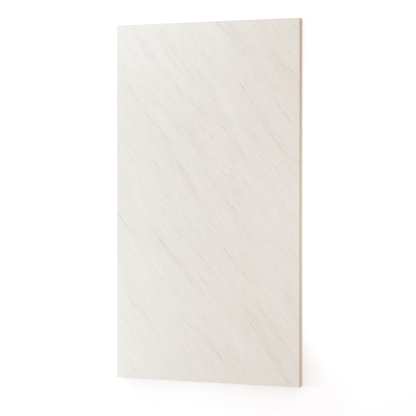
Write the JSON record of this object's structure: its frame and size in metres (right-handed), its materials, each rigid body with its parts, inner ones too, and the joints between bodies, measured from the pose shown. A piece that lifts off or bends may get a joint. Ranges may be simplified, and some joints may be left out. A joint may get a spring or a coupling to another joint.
{
  "type": "marble-effect wall panel",
  "caption": "Flat rectangular wall panel: a cream marble-effect laminate sheet glued to a square-edged wood-fibre core board.",
  "frame": {"origin": "middle of the panel's flat back, which lies on the floor", "axes": "+X across the panel's width, +Y up its height when it is fixed to a wall, +Z out of the marble-effect face"},
  "size_m": [0.6, 1.1, 0.026],
  "materials": {
    "wood_fibre_core": "matte",
    "marble_laminate": "satin"
  },
  "bodies": {
    "root": {"core_board": "wood_fibre_core", "face_laminate": "marble_laminate"}
  },
  "joints": []
}
